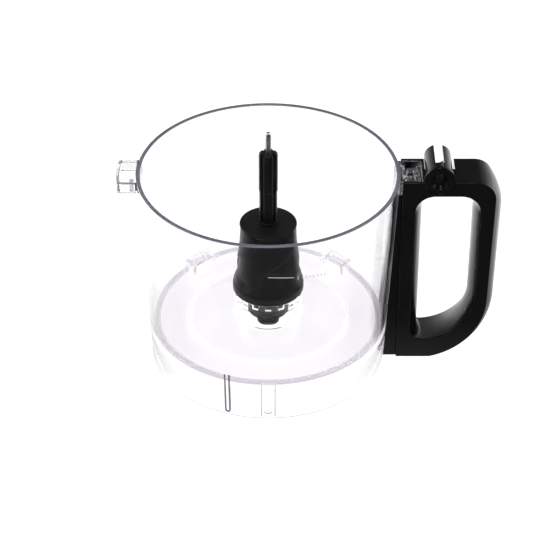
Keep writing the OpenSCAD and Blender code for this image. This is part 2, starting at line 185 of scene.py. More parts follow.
def shade(obj, angle=32, weighted=True):
    mesh = obj.data
    mesh.polygons.foreach_set("use_smooth", [True] * len(mesh.polygons))
    mesh.set_sharp_from_angle(angle=math.radians(angle))
    if weighted:
        m = obj.modifiers.new("normals", "WEIGHTED_NORMAL")
        m.keep_sharp, m.weight = True, 50
        bake(obj)
    return obj


def piece(obj, material, body, slot, *nodes):
    obj.data.materials.clear()
    obj.data.materials.append(material)
    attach(obj, body)
    if nodes:
        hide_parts(*nodes)
    return obj


# ---------------------------------------------------------------- materials
def new_material(name):
    mat = bpy.data.materials.new(name)
    mat.use_nodes = True
    nt = mat.node_tree
    bsdf = next(n for n in nt.nodes if n.type == "BSDF_PRINCIPLED")
    return mat, nt, bsdf


def add(nt, kind, **values):
    n = nt.nodes.new(kind)
    for k, v in values.items():
        setattr(n, k, v)
    return n


def noise(nt, scale, detail=3.0, rough=0.5):
    tc = add(nt, "ShaderNodeTexCoord")
    n = add(nt, "ShaderNodeTexNoise")
    n.inputs["Scale"].default_value = scale
    n.inputs["Detail"].default_value = detail
    n.inputs["Roughness"].default_value = rough
    nt.links.new(tc.outputs["Object"], n.inputs["Vector"])
    return n


def ramp(nt, source, stops):
    r = add(nt, "ShaderNodeValToRGB")
    e = r.color_ramp.elements
    while len(e) < len(stops):
        e.new(0.5)
    for el, (pos, col) in zip(e, stops):
        el.position = pos
        el.color = (*col, 1) if len(col) == 3 else col
    nt.links.new(source, r.inputs["Fac"])
    return r


def bump(nt, bsdf, height, strength, distance):
    b = add(nt, "ShaderNodeBump")
    b.inputs["Strength"].default_value = strength
    b.inputs["Distance"].default_value = distance
    nt.links.new(height, b.inputs["Height"])
    nt.links.new(b.outputs["Normal"], bsdf.inputs["Normal"])
    return b


def map_range(nt, source, a, b, c, d):
    m = add(nt, "ShaderNodeMapRange")
    for key, v in (("From Min", a), ("From Max", b), ("To Min", c), ("To Max", d)):
        m.inputs[key].default_value = v
    nt.links.new(source, m.inputs["Value"])
    return m


def black_plastic(name, base, rough, spread, grain, strength, specular):
    """Moulded black plastic: fine grain, uneven gloss, faint cloudiness."""
    mat, nt, bsdf = new_material(name)
    bsdf.inputs["Specular IOR Level"].default_value = specular
    cloud = noise(nt, 45, 4, 0.6)
    col = ramp(nt, cloud.outputs["Fac"], [(0.3, [c * 0.85 for c in base]), (0.75, [c * 1.25 for c in base])])
    nt.links.new(col.outputs["Color"], bsdf.inputs["Base Color"])
    rub = noise(nt, 160, 5, 0.65)
    r = map_range(nt, rub.outputs["Fac"], 0.3, 0.75, rough - spread, rough + spread)
    nt.links.new(r.outputs["Result"], bsdf.inputs["Roughness"])
    fine = noise(nt, grain, 2, 0.5)
    bump(nt, bsdf, fine.outputs["Fac"], strength, 0.00006)
    return mat


def calc(nt, operation, a, b):
    n = add(nt, "ShaderNodeMath", operation=operation)
    for socket, v in zip(n.inputs, (a, b)):
        if isinstance(v, (int, float)):
            socket.default_value = v
        else:
            nt.links.new(v, socket)
    return n.outputs["Value"]


def band(nt, source, lo, hi):
    """1 between lo[1] and hi[0], fading to 0 at lo[0] and hi[1], in mm."""
    up = map_range(nt, source, lo[0] * MM, lo[1] * MM, 0.0, 1.0)
    down = map_range(nt, source, hi[0] * MM, hi[1] * MM, 1.0, 0.0)
    for m in (up, down):
        m.interpolation_type = "SMOOTHSTEP"
    return calc(nt, "MULTIPLY", up.outputs["Result"], down.outputs["Result"])


def mixed(nt, factor, a, b):
    n = add(nt, "ShaderNodeMix", data_type="RGBA")
    nt.links.new(factor, n.inputs["Factor"])
    nt.links.new(a, n.inputs["A"])
    n.inputs["B"].default_value = (*b, 1)
    return n.outputs["Result"]


def zone(nt, z, z_lo, z_hi, r, r_lo, r_hi):
    """1 inside a ring-shaped region round the z axis, in mm."""
    return calc(nt, "MULTIPLY", band(nt, z, z_lo, z_hi), band(nt, r, r_lo, r_hi))


def coordinates(nt, output):
    tc = add(nt, "ShaderNodeTexCoord")
    xyz = add(nt, "ShaderNodeSeparateXYZ")
    nt.links.new(tc.outputs[output], xyz.inputs["Vector"])
    return [xyz.outputs[k] for k in "XYZ"]


def radius(nt, x, y):
    squares = calc(nt, "ADD", calc(nt, "MULTIPLY", x, x), calc(nt, "MULTIPLY", y, y))
    return calc(nt, "SQRT", squares, 0.0)


def clear_plastic():
    """Clear plastic, with painted shade at the rim, in the floor's corner and along cut edges, where it is drawn
    darker and less clear, and with a painted glow inside.

    The glow depends on the path a ray has taken, so the exported model doesn't carry it.
    """
    mat, nt, bsdf = new_material("clear_plastic_look")
    bsdf.inputs["IOR"].default_value = 1.49
    x, y, z = coordinates(nt, "Object")
    r = radius(nt, x, y)
    rim = zone(nt, z, (H - 1.0, H - 0.5), (H + 1, H + 2), r, (79.2, 79.4), (82.6, 82.8))
    # painted shade at the floor's corner: its inner edge is a circle set back a little, so the painted line is thin
    # at the back and broad in front
    r_back = radius(nt, x, calc(nt, "SUBTRACT", y, 2.3 * MM))
    corner = zone(nt, z, (25.6, 26.0), (28.6, 29.4), r_back, (69.9, 71.6), (79.0, 80.0))
    corner = calc(nt, "MULTIPLY", corner, band(nt, r, (60.0, 62.0), (75.6, 76.0)))
    path = add(nt, "ShaderNodeLightPath")
    turns = path.outputs["Transmission Depth"]
    inside = map_range(nt, turns, 0.0, 1.0, 0.0, 1.0).outputs["Result"]
    first = calc(nt, "MULTIPLY", inside, map_range(nt, turns, 1.0, 2.0, 1.0, 0.0).outputs["Result"])
    # the ring's painted glow and painted shade are on the front half alone: right from the front, but one-sided
    # from above
    front = map_range(nt, y, -0.034, -0.012, 1.0, 0.0).outputs["Result"]
    under = calc(nt, "MULTIPLY", band(nt, z, (21.2, 21.9), (25.2, 26.0)), inside)
    ring = calc(nt, "MAXIMUM", corner, calc(nt, "MULTIPLY", under, band(nt, r, (61.5, 63.0), (67.6, 68.8))))
    ring = calc(nt, "MULTIPLY", ring, calc(nt, "MULTIPLY", first, front))
    plate = zone(nt, z, (25.6, 26.0), (31.6, 32.0), r, (22.0, 24.0), (75.6, 76.0))
    edge = add(nt, "ShaderNodeAttribute", attribute_name="edge").outputs["Fac"]
    cloud = noise(nt, 30, 3, 0.5)
    clear = [(0.25, (0.998, 0.995, 0.999)), (0.8, (0.99, 0.984, 0.994))]
    body = ramp(nt, cloud.outputs["Fac"], clear).outputs["Color"]
    # painted shade: the floor plate is tinted a little darker and lilac
    tone = mixed(nt, plate, body, (0.962, 0.945, 0.97))
    # painted shade: a light lilac-grey line in the floor's corner
    tone = mixed(nt, corner, tone, (0.86, 0.84, 0.9))
    # painted shade: the rim's top is drawn dark grey and nearly opaque
    tone = mixed(nt, rim, tone, (0.21, 0.2, 0.25))
    # painted shade along cut edges, from the edge layer
    tone = mixed(nt, edge, tone, (0.16, 0.15, 0.19))
    # painted shade under the floor plate and on the land ring, seen from inside the plastic: dark here, with a
    # painted glow below
    below = calc(nt, "MULTIPLY", under, band(nt, r, (21.0, 23.0), (75.8, 76.2)))
    land = zone(nt, z, (-1.0, -0.5), (7.2, 8.0), r, (72.2, 72.6), (75.6, 75.9))
    below = calc(nt, "MAXIMUM", below, calc(nt, "MULTIPLY", land, inside))
    tone = mixed(nt, below, tone, (0.1, 0.1, 0.1))
    # painted shade: the front ring is drawn near black under its painted glow
    tone = mixed(nt, ring, tone, (0.04, 0.04, 0.045))
    # painted shade: a grey line along the foot's bottom edge, seen from outside
    foot = zone(nt, z, (-1.0, -0.5), (0.7, 1.1), r, (75.0, 75.3), (76.6, 77.0))
    foot = calc(nt, "MULTIPLY", foot, calc(nt, "SUBTRACT", 1.0, inside))
    tone = mixed(nt, foot, tone, (0.4, 0.38, 0.43))
    nt.links.new(tone, bsdf.inputs["Base Color"])
    # the painted marks are made less clear, so that their painted colour shows
    painted_opacity = calc(nt, "MAXIMUM", calc(nt, "MULTIPLY", corner, 0.85), calc(nt, "MULTIPLY", rim, 0.92))
    painted_opacity = calc(nt, "MAXIMUM", painted_opacity, calc(nt, "MULTIPLY", edge, 0.8))
    painted_opacity = calc(nt, "MAXIMUM", painted_opacity, calc(nt, "MULTIPLY", below, 0.95))
    painted_opacity = calc(nt, "MAXIMUM", painted_opacity, calc(nt, "MAXIMUM", ring, calc(nt, "MULTIPLY", foot, 0.45)))
    nt.links.new(calc(nt, "SUBTRACT", 1.0, painted_opacity), bsdf.inputs["Transmission Weight"])
    haze = noise(nt, 220, 4, 0.6)
    gloss = map_range(nt, haze.outputs["Fac"], 0.45, 0.8, 0.0, 0.04)
    nt.links.new(gloss.outputs["Result"], bsdf.inputs["Roughness"])
    wave = noise(nt, 22, 1, 0.4)
    bump(nt, bsdf, wave.outputs["Fac"], 0.12, 0.0006)
    # painted glow: light trapped in the wall for long is drawn as a glow, dim near the rim and bright near the
    # white table;
    # so is light that enters the wall beside the floor plate and meets the plate's underside
    # light thrown about in the wall 13 times or more gets this painted glow, dim near the rim and bright near the
    # table
    deep = map_range(nt, path.outputs["Ray Depth"], 12.5, 14.5, 0.0, 1.0).outputs["Result"]
    low = band(nt, z, (-2, -1), (40, 70))
    colour = add(nt, "ShaderNodeMix", data_type="RGBA")
    nt.links.new(low, colour.inputs["Factor"])
    colour.inputs["A"].default_value = (0.174, 0.165, 0.2, 1)
    colour.inputs["B"].default_value = (0.843, 0.822, 0.852, 1)
    glow = add(nt, "ShaderNodeMix", data_type="RGBA")
    nt.links.new(deep, glow.inputs["Factor"])
    glow.inputs["A"].default_value = (0, 0, 0, 1)
    nt.links.new(colour.outputs["Result"], glow.inputs["B"])
    # painted glow under the floor plate and on the land ring, and a dimmer painted glow on the front ring
    lit = mixed(nt, below, glow.outputs["Result"], (0.91, 0.882, 0.92))
    lit = mixed(nt, ring, lit, (0.49, 0.47, 0.53))
    nt.links.new(lit, bsdf.inputs["Emission Color"])
    bsdf.inputs["Emission Strength"].default_value = 1.15
    return mat


def paint_edge_shade(obj):
    """Writes the edge layer, one value a face: painted shade on the lug's, arm's, guides' and pockets' edges, where
    the clear plastic is drawn darker and less clear.
    """
    mesh = obj.data
    values = []
    for poly in mesh.polygons:
        n, c = poly.normal, poly.center / MM
        r = math.hypot(c.x, c.y)
        radial = abs(n.x * c.x + n.y * c.y) / max(r, 1e-6)
        v = 0.0
        if r > 83.2 and c.x < 0 and (c.y < 0 or c.z > H - 1.2):
            if 0.12 < abs(n.z) < 0.92:
                v = 1.0
            elif c.z < H - 7 and n.z < -0.5:
                v = 0.8
            elif r > 84 and abs(n.z) < 0.1 and 0.15 < abs(n.y) < 0.9 and poly.area < 2e-6:
                v = 0.45
        elif c.x > 83.5 and c.z > H - 12:
            around = math.hypot(c.x - ROD_X, c.y)
            v = 0.5 if 0.12 < abs(n.z) < 0.95 or (4.9 < around < 5.8 and abs(n.z) < 0.5) else 0.0
        elif c.z < 36 and r > wall_r(c.z) + 0.12 and abs(n.z) < 0.97:
            if radial < 0.85 or r > wall_r(c.z) + 0.45:
                v = 1.0 if c.x < -8 else 0.62
        elif 21.5 < c.z < 35.4 and 60 < r < wall_r(c.z) - 2.7 and c.y > 0 and poly.area < 1.2e-5:
            side = POCKET_ANGLES[0 if c.x > 0 else 1]
            if abs(math.degrees(math.atan2(c.y, c.x)) - side) < 8.2:
                a = math.radians(side)
                across = abs(n.y * math.cos(a) - n.x * math.sin(a))
                along = abs(n.x * math.cos(a) + n.y * math.sin(a))
                if 0.2 < abs(n.z) < 0.97 or min(across, along) > 0.25:
                    v = 0.3
        values.append(v)
    layer = mesh.attributes.new("edge", "FLOAT", "FACE")
    layer.data.foreach_set("value", values)


def metal(name, colour, rough, streak, edge=1.0, grain=0.08):
    mat, nt, bsdf = new_material(name)
    bsdf.inputs["Metallic"].default_value = 1.0
    bsdf.inputs["Specular Tint"].default_value = (edge, edge, edge, 1)
    tc = add(nt, "ShaderNodeTexCoord")
    mp = add(nt, "ShaderNodeMapping")
    mp.inputs["Scale"].default_value = (1, 1, streak)
    nt.links.new(tc.outputs["Object"], mp.inputs["Vector"])
    n = add(nt, "ShaderNodeTexNoise")
    n.inputs["Scale"].default_value = 900
    n.inputs["Detail"].default_value = 4
    nt.links.new(mp.outputs["Vector"], n.inputs["Vector"])
    col = ramp(nt, n.outputs["Fac"], [(0.3, [c * 0.88 for c in colour]), (0.7, colour)])
    nt.links.new(col.outputs["Color"], bsdf.inputs["Base Color"])
    r = map_range(nt, n.outputs["Fac"], 0.3, 0.7, rough * 0.7, rough * 1.3)
    nt.links.new(r.outputs["Result"], bsdf.inputs["Roughness"])
    bump(nt, bsdf, n.outputs["Fac"], grain, 0.00002)
    return mat


def pale_plastic(name, colour, rough):
    mat, nt, bsdf = new_material(name)
    cloud = noise(nt, 120, 4, 0.6)
    col = ramp(nt, cloud.outputs["Fac"], [(0.3, [c * 0.93 for c in colour]), (0.75, colour)])
    nt.links.new(col.outputs["Color"], bsdf.inputs["Base Color"])
    r = map_range(nt, cloud.outputs["Fac"], 0.3, 0.7, rough - 0.06, rough + 0.08)
    nt.links.new(r.outputs["Result"], bsdf.inputs["Roughness"])
    fine = noise(nt, 1500, 2, 0.5)
    bump(nt, bsdf, fine.outputs["Fac"], 0.06, 0.00005)
    return mat


HANDLE = black_plastic("handle_plastic_look", (0.0052, 0.0050, 0.0054), 0.2, 0.04, 3000, 0.06, 0.34)
STEM = black_plastic("stem_plastic_look", (0.0095, 0.0090, 0.0098), 0.36, 0.06, 2600, 0.05, 0.2)
SOCKET = black_plastic("socket_plastic_look", (0.004, 0.0039, 0.0042), 0.5, 0.06, 2200, 0.15, 0.3)
CLEAR = clear_plastic()
CHROME = metal("pin_steel_look", (0.86, 0.84, 0.89), 0.3, 1.0, 0.45, 0.001)
STEEL = metal("screw_steel_look", (0.62, 0.62, 0.64), 0.3, 0.2)
ACETAL = pale_plastic("acetal_look", (0.82, 0.81, 0.77), 0.42)
PRINT = pale_plastic("print_look", (0.56, 0.55, 0.58), 0.5)


# ---------------------------------------------------------------- clear bowl
def bowl():
    inner_low = wall_r(FLOOR_Z + FILLET) - WALL
    foot = 20.8
    top_r = 15.6
    profile = [(LAND_R, 0.35), (LAND_R + 0.35, 0), (BASE_R - 0.5, 0), (BASE_R - 0.1, 0.25)]
    profile += [(wall_r(z), z) for z in (1.0, 20, 40, 60, 80, 100, 120, H - 0.9)]
    profile += arc(RIM_R - 0.75, H - 0.7, 0.7, 0, 90, 5)
    profile += arc(RIM_R - WALL + 0.75, H - 0.7, 0.7, 90, 180, 5)
    profile += [(wall_r(z) - WALL, z) for z in (120, 100, 80, 60, 45)]
    profile += [(inner_low, FLOOR_Z + FILLET + 1)]
    profile += arc(inner_low - FILLET, FLOOR_Z + FILLET, FILLET, 0, -85, 8)
    profile += [(lerp(inner_low - FILLET, foot + 3, t), lerp(FLOOR_Z, TOWER_Z, t)) for t in (0.25, 0.5, 0.75)]
    profile += [(foot + 2.6, TOWER_Z), (foot + 1.5, TOWER_Z + 0.35), (foot + 0.6, TOWER_Z + 1.1),
                (foot, TOWER_Z + 2.4)]
    profile += [(20.2, 42), (19.4, 50), (18.1, 59), (16.8, 68), (16.1, 78), (top_r, 87.5), (top_r - 0.4, 88)]
    profile += [(13.4, 88), (13.4, 76), (14.6, 68), (15.9, 59), (17.2, 50), (18.0, 42), (18.6, TOWER_Z)]
    profile += [(18.6, TOWER_Z - 2.0), (19.2, TOWER_Z - 2.6)]
    profile += [(wall_r(FLOOR_Z) - WALL - 1.6, FLOOR_Z - 2.6), (wall_r(FLOOR_Z) - WALL - 0.4, FLOOR_Z - 3.0),
                (wall_r(FLOOR_Z) - WALL, FLOOR_Z - 3.9), (LAND_R + 0.4, LAND_H + 1), (LAND_R, LAND_H)]
    body = lathe("bowl", profile, n=256)

    # teeth round the tower
    tooth = [(18.8, 41.6), (21.4, 41.6), (21.7, 41.9), (21.7, 48.1), (21.4, 48.4), (18.8, 48.4)]
    teeth = lathe("teeth", tooth, n=128)
    for i in range(16):
        a = 2 * math.pi * i / 16
        cut = block("cut", (19.9, -2.0, 45), (24, 2.0, 51))
        cut.data.transform(Matrix.Rotation(a, 4, "Z"))
        boolean(teeth, cut)
    boolean(body, teeth, "UNION")

    # pockets over the base's lugs
    for a in POCKET_ANGLES:
        for grow, z1, op in ((2, FLOOR_Z + 9, "UNION"), (0, FLOOR_Z + 7, "DIFFERENCE")):
            depth = 8 + grow
            x0 = wall_r(FLOOR_Z) - WALL - depth
            b = block("pocket", (x0, -7.5 - grow, FLOOR_Z - 4.6), (x0 + depth + 0.8, 7.5 + grow, z1))
            bevel(b, 1.1 if grow else 0.6, 3)
            b.data.transform(Matrix.Rotation(math.radians(a), 4, "Z"))
            boolean(body, b, op)

    # raised guides outside the skirt
    draft = math.atan((RIM_R - BASE_R) / H)
    for a, w, top in GUIDES:
        pts = [(-w / 2, 0), (w / 2, 0)] + arc(0, top - 3 - w / 2, w / 2, 0, 180, 12)
        inner = [(p[0] * (1 - 1.9 / w), p[1] if p[1] > 0 else -1) for p in pts]
        inner = [(p[0], p[1] - 0.75 if p[1] > 1 else p[1]) for p in inner]
        if w < 5:
            pts = [(x, top - 3 - z) for x, z in reversed(pts)]
            inner = [(x, top - 3 - z) for x, z in reversed(inner)]
        else:
            pts = [(-w / 2, 0), (w / 2, 0), (w / 2, top - 3), (-w / 2, top - 3)]
            inner = [(0.86 * x, -1 if z == 0 else z + 1) for x, z in pts]
        rings = [[(0.0, p[0], p[1]) for p in pts], [(1.75, p[0], p[1]) for p in pts],
                 [(1.9, p[0] * 0.93, p[1] - 0.1) for p in pts]]
        rib = from_rings("rib", rings)
        hole = from_rings("hole", [[(1.25, p[0], p[1]) for p in inner], [(3, p[0], p[1]) for p in inner]])
        boolean(rib, hole)
        m = (Matrix.Rotation(math.radians(a), 4, "Z") @ Matrix.Translation(Vector((wall_r(3) - 1, 0, 3)) * MM)
             @ Matrix.Rotation(draft, 4, "Y"))
        rib.data.transform(m)
        boolean(body, rib, "UNION")

    # small raised stop at the foot of the wide guide
    smile = ([(p, 4.3 + 0.27 * p * p) for p in (-2.6, -1.9, -1.0, 0, 1.0, 1.9, 2.6)]
             + [(p, 5.3 + 0.22 * p * p) for p in (2.5, 1.9, 1.0, 0, -1.0, -1.9, -2.5)])
    stop = from_rings("stop", [[(x, -BASE_R - 0.9 * s, z) for x, z in smile] for s in (-0.5, 1)])
    boolean(body, stop, "UNION")

    # hollow lug opposite the handle
    def lug_outline(inset, x_in):
        r, y = 94.8 - inset, 13.3 - inset
        a = math.degrees(math.asin(y / r))
        face = arc(0, 0, r, 180 - a + 2.2, 180 + a - 2.2, 16)
        c = 1.6
        return ([(x_in, y), (face[0][0] + c, y), (face[0][0] + 0.35, y - 0.45)] + face
                + [(face[-1][0] + 0.35, -y + 0.45), (face[-1][0] + c, -y), (x_in, -y)])
    lug = prism("lug", lug_outline(0, -79.6), H - 8, H, axis="z")
    bevel(lug, 0.6, 3)
    hollow = prism("hollow", lug_outline(2, -RIM_R - 0.2), H - 12, H - 2, axis="z")
    boolean(lug, hollow)
    trim = lathe("trim", [(0.0, 100), (RIM_R - 1.3, 100), (RIM_R - 1.3, 150), (0.0, 150)], n=256)
    boolean(lug, trim)
    boss = lathe("boss", [(0.5, H - 8), (1.4, H - 8), (1.4, H - 1), (0.5, H - 1)], n=32,
                 centre=(-84.9, -9.0, 0))
    boolean(lug, boss, "UNION")
    boolean(body, lug, "UNION")

    # arm that the handle holds
    z0 = H - 9.8
    arm = block("arm", (79.5, -12.3, z0), (96, 12.3, H))
    bevel(arm, 0.4, 2)
    well = block("well", (RIM_R + 0.9, -10.8, z0 + 1.5), (94.5, 10.8, H + 3))
    boolean(arm, well)
    for a in (60, 120, 240, 300):
        rib = block("rib", (4.4, -0.6, z0), (14.5, 0.6, H - 1.5))
        rib.data.transform(Matrix.Translation((ROD_X * MM, 0, 0)) @ Matrix.Rotation(math.radians(a), 4, "Z"))
        keep = block("keep", (81.5, -12.0, z0), (95.6, 12.0, H - 1.5))
        boolean(rib, keep, "INTERSECT")
        boolean(arm, rib, "UNION")
    boss = lathe("boss", [(0.0, z0), (5.6, z0), (5.6, H - 1.3), (5.1, H - 0.8), (0.0, H - 0.8)], n=64,
                 centre=(ROD_X, 0, 0))
    boolean(arm, boss, "UNION")
    trim = lathe("trim", [(0.0, 100), (RIM_R - 1.3, 100), (RIM_R - 1.3, 150), (0.0, 150)], n=256)
    boolean(arm, trim)
    boolean(body, arm, "UNION")
    bore = lathe("bore", [(0.0, z0 - 2), (3.05, z0 - 2), (3.05, H + 2), (0.0, H + 2)], n=48,
                 centre=(ROD_X, 0, 0))
    boolean(body, bore)
    for s in (-6.5, 6.5):
        hole = lathe("hole", [(0.0, 60), (1.7, 60), (1.7, 90), (0.0, 90)], n=32, axis="x", centre=(0, s, 15))
        boolean(body, hole)
    body.name = "clear_bowl"
    shade(body, 28)
    paint_edge_shade(body)
    body.visible_shadow = False
    return piece(body, CLEAR, "bowl", "clear_plastic", "bowl_body")


# ---------------------------------------------------------------- fill line and ticks on the wall's outside
def wall_strip(name, points, w, t=0.12):
    """A thin raised line on the wall's outer face through (x, z) points."""
    rings = []
    for i, (x, z) in enumerate(points):
        x0, z0 = points[max(0, i - 1)]
        x1, z1 = points[min(len(points) - 1, i + 1)]
        d = Vector((x1 - x0, z1 - z0)).normalized()
        n = Vector((-d.y, d.x))
        ring = []
        for side, out in ((-1, -0.05), (-1, t * 0.6), (-0.6, t), (0.6, t), (1, t * 0.6), (1, -0.05)):
            px, pz = x + n.x * w / 2 * side, z + n.y * w / 2 * side
            r = wall_r(pz) + out
            ring.append((px, -math.sqrt(r * r - px * px), pz))
        rings.append(ring)
    return from_rings(name, rings)


def fill_marks():
    line = [(lerp(-0.2, 15.4, i / 16), lerp(113.8, 112.7, (i / 16) ** 1.2)) for i in range(17)]
    parts = [wall_strip("fill_line", line, 0.62)]
    ticks = [(17.8, 2.6), (20.6, 1.4), (22.8, 1.4), (25.0, 1.4), (27.2, 2.0), (29.6, 1.4), (31.8, 1.4),
             (34.0, 1.4)]
    for x, h in ticks:
        z = 112.3 - 0.06 * (x - 15.4)
        parts.append(wall_strip("tick", [(x, z - h / 2), (x + 0.12, z), (x + 0.24, z + h / 2)], 0.5))
    bm = bmesh.new()
    for p in parts:
        bm.from_mesh(p.data)
    mesh = bpy.data.meshes.new("fill_marks")
    bm.to_mesh(mesh)
    bm.free()
    for p in parts:
        bpy.data.objects.remove(p)
    obj = bpy.data.objects.new("fill_marks", mesh)
    scene.collection.objects.link(obj)
    shade(obj, 40, weighted=False)
    obj.visible_shadow = False
    return piece(obj, PRINT, "bowl", "white_acetal")


# ---------------------------------------------------------------- handle
def swell(y):
    return 1 - (y / HANDLE_Y) ** 2


GRIP_X = 141.5
NOTCH = (97.7, 116.5, 129.3)


def oval(cx, cz, rx, rz, a0, a1, n):
    return [(cx + rx * math.cos(math.radians(lerp(a0, a1, i / n))),
             cz + rz * math.sin(math.radians(lerp(a0, a1, i / n)))) for i in range(n + 1)]


def outer_outline(i, g, n_arc=40):
    r, drop = 46.1 + g - i, 1.9 * g
    low = math.degrees(math.asin((HANDLE_Z + i - 47) / r))
    return ([(HANDLE_X + i, HANDLE_Z + i)] + oval(94, 47, r, r, low, 0, n_arc)
            + oval(GRIP_X - 12, HANDLE_TOP - 12 - drop, 12 + g - i, 12 + drop - i, 0, 90, n_arc // 2)
            + [(HANDLE_X + i, HANDLE_TOP - i)])


def inner_outline(i, k, y, n_arc=24):
    d = 2 * (1 + y / HANDLE_Y)
    left, right, top = 5.4 * k, 0.8 * 5.4 * k, 2 * k
    return (oval(98, 51.5 - d, 35 + i - right, 35 + i, -80, 0, n_arc + 10)
            + oval(120, 114.3, 13 + i - right, 13 + i - top, 0, 90, n_arc)
            + oval(104.3, 114.3, 13 + i - left, 13 + i - top, 90, 180, n_arc)
            + oval(100.3, 25.5 - d, 9 + i - left, 9 + i, 180, 270, n_arc))


CENTRE = (112.0, 78.0)


def at_angles(outline, angles):
    """Points where rays from the handle's centre meet the outline."""
    cx, cz = CENTRE
    out = []
    segs = list(zip(outline, outline[1:] + outline[:1]))
    for a in angles:
        dx, dz = math.cos(a), math.sin(a)
        best = None
        for (x0, z0), (x1, z1) in segs:
            ex, ez = x1 - x0, z1 - z0
            det = ex * dz - ez * dx
            if abs(det) < 1e-12:
                continue
            rx, rz = x0 - cx, z0 - cz
            t = (ex * rz - ez * rx) / det
            s = (dx * rz - dz * rx) / det
            if t > 0 and -1e-9 <= s <= 1 + 1e-9 and (best is None or t > best):
                best = t
        out.append((cx + dx * best, cz + dz * best))
    return out


def handle_angles():
    pts = outer_outline(0, 0, 32) + inner_outline(0, 0, 0, 14)
    angles = {round(math.atan2(p[1] - CENTRE[1], p[0] - CENTRE[0]), 5) for p in pts}
    angles |= {round(math.radians(k * 3.0 - 180), 5) for k in range(120)}
    angles = sorted(angles)
    kept = [angles[0]]
    corners = {round(math.atan2(p[1] - CENTRE[1], p[0] - CENTRE[0]), 5) for p in
               [(HANDLE_X, HANDLE_Z), (HANDLE_X, HANDLE_TOP)]}
    for a in angles[1:]:
        if a - kept[-1] > 0.006 or a in corners:
            if a in corners and a - kept[-1] <= 0.006 and kept[-1] not in corners:
                kept.pop()
            kept.append(a)
    return kept


def handle_ring(y, angles, inset=0.0, grow=0.0):
    outer = at_angles(outer_outline(inset, 5.2 * swell(y)), angles)
    inner = at_angles(inner_outline(grow, swell(y), y), angles)
    return outer, inner


def handle_part(name, ys):
    """A closed ring-shaped solid between two depths: outer skin, face, hole skin, face."""
    angles = handle_angles()
    loops_out, loops_in = [], []
    for y, inset in ys:
        o, i = handle_ring(y, angles, inset, inset)
        loops_out.append([(p[0], y, p[1]) for p in o])
        loops_in.append([(p[0], y, p[1]) for p in i])
    rings = loops_out + loops_in[::-1]
    return from_rings(name, rings, close_u=True, caps=False, closed_v=True)


def top_cuts(obj, cut_barrel):
    """The barrel's notch, the arm's pocket and, on the front cover, the end ring's seat."""
    boolean(obj, block("notch", (NOTCH[0], -16, BARREL_Z if cut_barrel else NOTCH[2]), (NOTCH[1], 16, 150)))
    boolean(obj, block("pocket", (82.3, -12.5, H - 10.0), (96.2, 12.5, 150)))
    if cut_barrel:
        seat = [(0.0, -18), (10.2, -18), (10.2, -HANDLE_Y), (9.75, 0.45 - HANDLE_Y), (9.75, RING_HI[1]),
                (0.0, RING_HI[1])]
        boolean(obj, lathe("seat", seat, n=96, axis="y", centre=(BARREL_X, 0, BARREL_Z)))


def handle():
    # front cover: its front edge is rounded a little, and its rear edge has a fine groove at the joint
    f = -HANDLE_Y
    ys = [(f, 0.5), (f + 0.03, 0.3), (f + 0.11, 0.12), (f + 0.25, 0.03), (f + 0.4, 0.0)]
    ys += [(lerp(f + 0.4, SPLIT_Y, k / 5), 0.0) for k in range(1, 5)]
    ys += [(SPLIT_Y - 0.12, 0.0), (SPLIT_Y - 0.02, 0.12)]
    cover = handle_part("cover", ys)
    top_cuts(cover, True)
    cover.name = "handle_front"
    shade(cover, 30)
    piece(cover, HANDLE, "bowl", "handle_black", "handle_cover")

    ys = [(SPLIT_Y + 0.02, 0.12), (SPLIT_Y + 0.12, 0.0)]
    b = HANDLE_Y
    ys += [(lerp(SPLIT_Y, b - 0.6, k / 22), 0.0) for k in range(1, 22)]
    ys += [(b - 0.6, 0.0), (b - 0.3, 0.06), (b - 0.12, 0.18), (b - 0.03, 0.4), (b, 0.65)]
    rear = handle_part("rear", ys)
    for x, z in COVER_SCREWS:
        sink = [(0.0, b - 3), (2.6, b - 3), (2.6, b - 0.3), (2.9, b + 0.1), (0.0, b + 0.1)]
        boolean(rear, lathe("sink", sink, n=48, axis="y", centre=(x, 0, z)))
    top_cuts(rear, False)
    # room for the rod and its button, down to where the pressed rod ends
    low = ROD_LOW - 6.5
    boolean(rear, lathe("shaft", [(0.0, low), (3.4, low), (3.4, 140), (0.0, 140)], n=48, centre=(ROD_X, 0, 0)))
    rear.name = "handle_rear"
    shade(rear, 30)
    piece(rear, HANDLE, "bowl", "handle_black", "handle_housing")


def flange():
    """The channel behind the handle, fitted to the bowl's cone."""
    lo, hi = box_mm("handle_flange")
    depth = -lo[1]
    rings = []
    zs = [lo[2], lo[2] + 0.4] + [lerp(lo[2] + 0.4, hi[2] - 0.4, k / 12) for k in range(1, 12)]
    zs += [hi[2] - 0.4, hi[2]]
    for k, z in enumerate(zs):
        c = 0.4 if k in (0, len(zs) - 1) else 0.0
        ring = []
        r = wall_r(z) + 0.12
        for i in range(17):
            y = lerp(-depth + c, depth - c, i / 16)
            ring.append((math.sqrt(r * r - y * y), y, z))
        x1 = HANDLE_X - 0.04
        ring += [(x1 - 0.3, depth - c, z), (x1, depth - c - 0.3, z), (x1, -depth + c + 0.3, z),
                 (x1 - 0.3, -depth + c, z)]
        rings.append(ring)
    f = from_rings("handle_backing", rings)
    shade(f, 40)
    piece(f, HANDLE, "bowl", "handle_black", "handle_flange")


